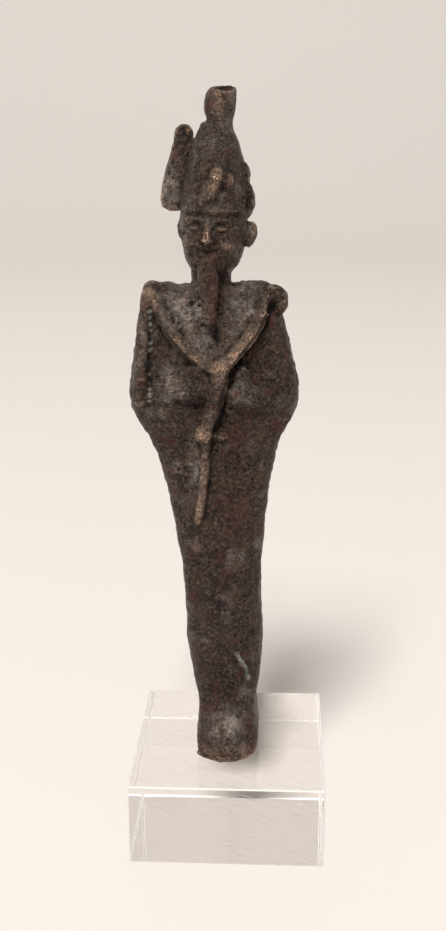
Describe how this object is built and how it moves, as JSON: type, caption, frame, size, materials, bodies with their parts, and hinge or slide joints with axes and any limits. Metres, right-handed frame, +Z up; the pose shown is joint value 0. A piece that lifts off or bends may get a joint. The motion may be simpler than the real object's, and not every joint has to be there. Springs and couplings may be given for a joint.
{
  "type": "osiris figure on a display block",
  "caption": "Small cast bronze figure of Osiris with crook, flail and plumed crown, held upright by its tang in a clear acrylic block.",
  "frame": {"origin": "centre of the underside of the acrylic block", "axes": "+Z up along the figure, -Y towards the front that the figure faces, +X to the viewer's right"},
  "size_m": [0.0286, 0.0286, 0.1083],
  "materials": {
    "bronze": "corroded dark brown patina, worn to metal on raised edges",
    "clear_acrylic": "polished, clear"
  },
  "bodies": {
    "root": {"osiris_figure": "bronze", "acrylic_block": "clear_acrylic"}
  },
  "joints": []
}
